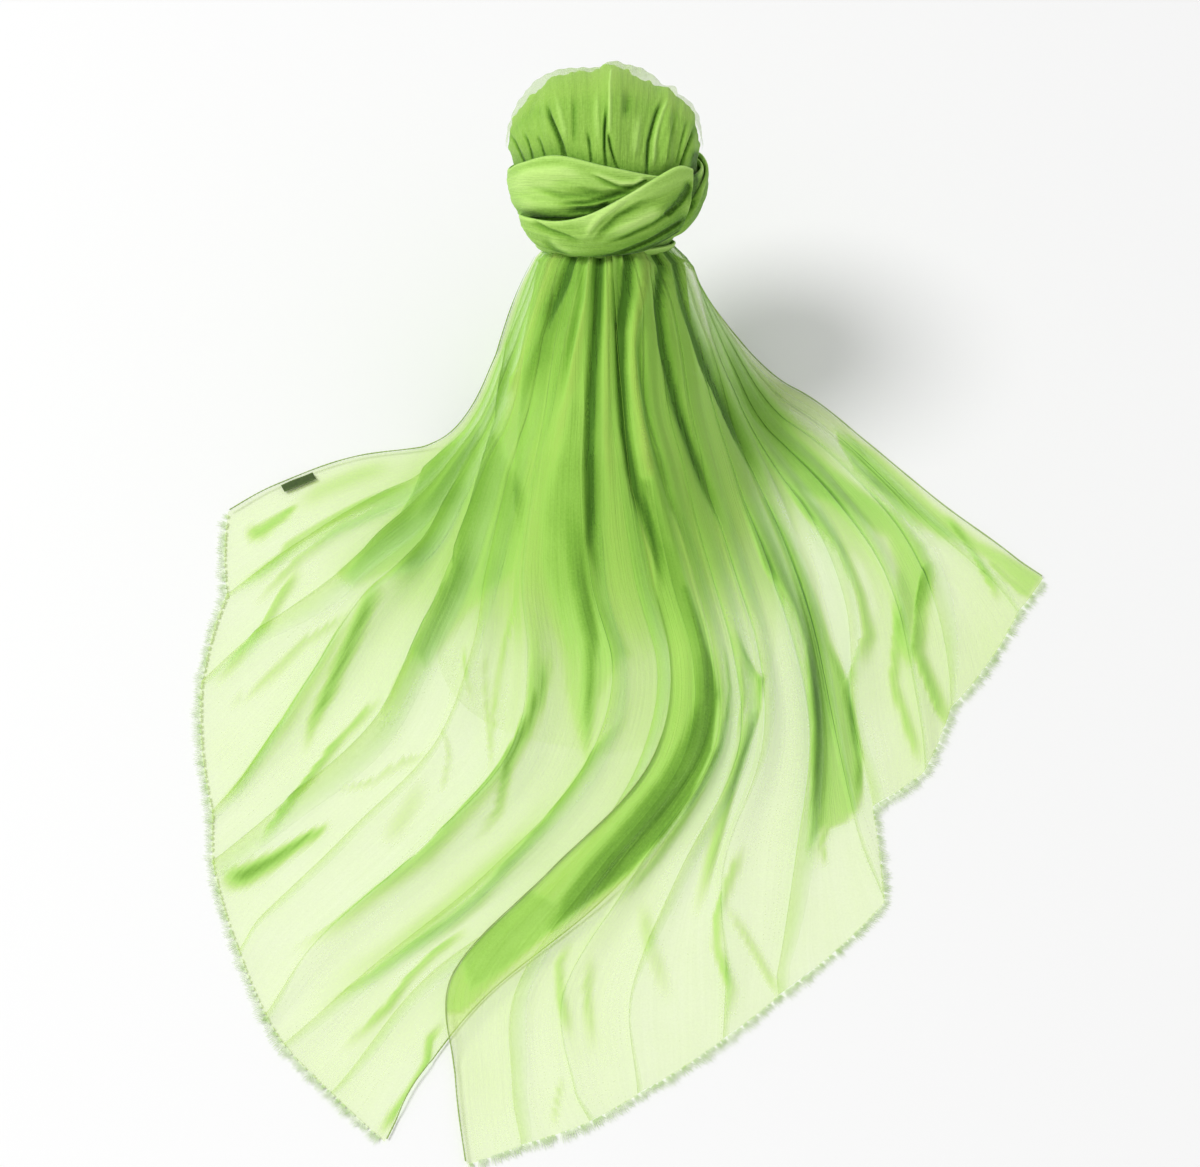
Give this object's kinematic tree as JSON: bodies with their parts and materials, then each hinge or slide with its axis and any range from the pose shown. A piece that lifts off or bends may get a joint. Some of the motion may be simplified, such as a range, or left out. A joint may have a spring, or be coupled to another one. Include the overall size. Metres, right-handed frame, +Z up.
{
  "type": "scarf",
  "caption": "Sheer fringed scarf gathered into a pleated puff, bound round with its own cloth, its two ends fanned out flat on a table.",
  "frame": {"origin": "centre of the scarf's footprint, on the table", "axes": "+Z up from the table, -Y towards the viewer and the fringed ends, +Y towards the puff, +X to the viewer's right"},
  "size_m": [0.5673, 0.6998, 0.2496],
  "materials": {
    "sheer_cloth": "sheer featherweight weave, matt",
    "gathered_cloth": "many layers of the same sheer weave, soft sheen on the folds",
    "rolled_hem": "narrow rolled hem, matt",
    "fringe": "short soft tufts",
    "woven_label": "close woven label, blank"
  },
  "bodies": {
    "root": {"left_end": "sheer_cloth", "right_end": "sheer_cloth", "fringe_left": "fringe", "fringe_right": "fringe", "hem_left_outer": "rolled_hem", "hem_left_inner": "rolled_hem", "hem_right_inner": "rolled_hem", "hem_right_outer": "rolled_hem", "label": "woven_label", "inner_folds": "gathered_cloth", "crown": "gathered_cloth", "band_upper": "gathered_cloth", "band_lower": "gathered_cloth", "band_cross": "gathered_cloth", "band_loop": "gathered_cloth"}
  },
  "joints": []
}
